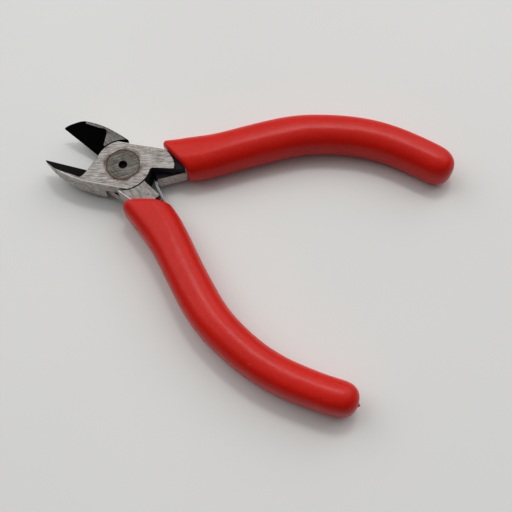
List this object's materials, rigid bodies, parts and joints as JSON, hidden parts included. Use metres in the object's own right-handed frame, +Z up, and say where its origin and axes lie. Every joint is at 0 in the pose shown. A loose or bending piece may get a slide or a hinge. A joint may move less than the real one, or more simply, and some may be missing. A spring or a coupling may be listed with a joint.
{
  "type": "flush cutter",
  "caption": "Small diagonal flush cutter: lap-jointed blackened steel halves on a countersunk rivet, a leaf return spring and curved moulded grips, shown open.",
  "frame": {"origin": "pivot axis where it crosses the flat underside of the joint", "axes": "+X towards the handles along the line that halves the open jaws, +Z up through the joint, jaws towards -X"},
  "size_m": [0.1122, 0.0868, 0.0114],
  "materials": {
    "forged_steel": "ground flats, blackened bevels and edges",
    "rivet_steel": "ground flush with the joint",
    "spring_steel": "satin",
    "grip_pvc": "satin red PVC"
  },
  "bodies": {
    "front": {"front_half": "forged_steel", "pivot_rivet": "rivet_steel", "front_grip": "grip_pvc"},
    "rear": {"rear_half": "forged_steel", "leaf_spring": "spring_steel", "rear_grip": "grip_pvc"}
  },
  "joints": [
    {"name": "pivot", "type": "hinge", "parent": "front", "child": "rear", "pos_m": [0, 0, 0.004], "axis": [0, 0, 1], "range_deg": [0, 27], "stiffness_Nm_per_rad": 1.2, "springref_deg": -6.88, "deforming": ["leaf_spring"]}
  ]
}
